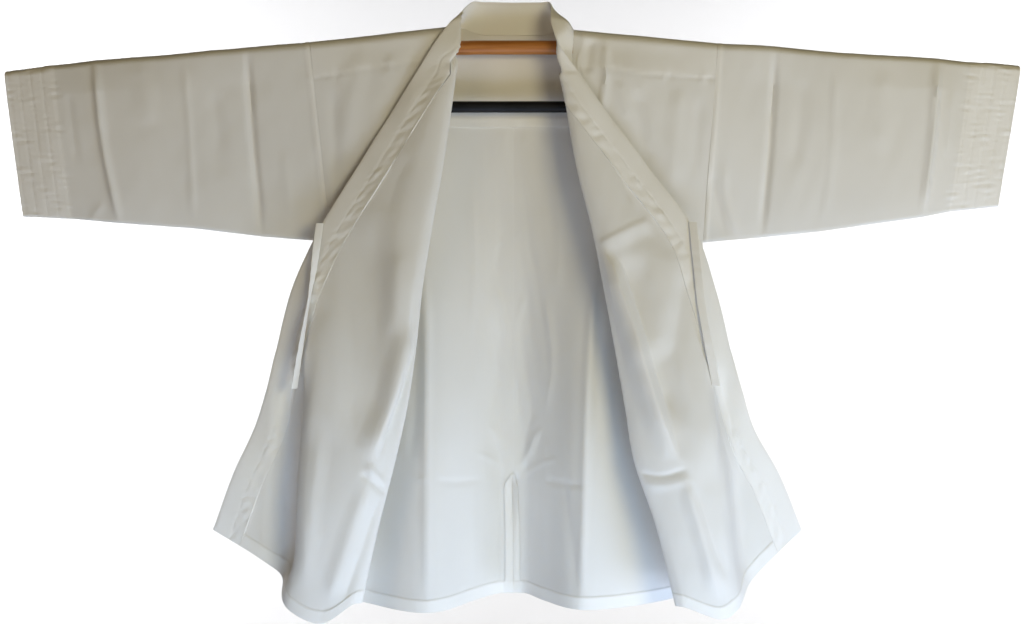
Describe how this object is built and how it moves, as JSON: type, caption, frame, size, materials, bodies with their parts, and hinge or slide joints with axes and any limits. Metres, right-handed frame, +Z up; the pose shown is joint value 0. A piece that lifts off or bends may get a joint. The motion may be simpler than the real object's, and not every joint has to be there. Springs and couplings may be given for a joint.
{
  "type": "iaido gi jacket on a kimono hanger, held at the hanger bar",
  "caption": "White sword-practice jacket with wide straight sleeves, spread open on a kimono hanger with both fronts turned back.",
  "frame": {"origin": "middle of the hanger's wooden bar, in the neck opening", "axes": "+X to the viewer's right along the sleeves, +Y away from the viewer to the jacket's back, +Z up"},
  "size_m": [1.5151, 0.1451, 0.9123],
  "materials": {
    "white_cloth": "thin smooth plain weave, slight sheen",
    "bar_wood": "varnished, satin",
    "bar_black": "satin black"
  },
  "bodies": {
    "root": {"front_left": "white_cloth", "front_right": "white_cloth", "back_left": "white_cloth", "back_right": "white_cloth", "sleeve_left": "white_cloth", "sleeve_right": "white_cloth", "collar_band": "white_cloth", "yoke_lining": "white_cloth", "tie_left": "white_cloth", "tie_right": "white_cloth", "vent_facing_left": "white_cloth", "vent_facing_right": "white_cloth", "hanger_bar": "bar_wood", "hanger_lower_bar": "bar_black", "hanger_link_left": "bar_black", "hanger_link_right": "bar_black"}
  },
  "joints": []
}
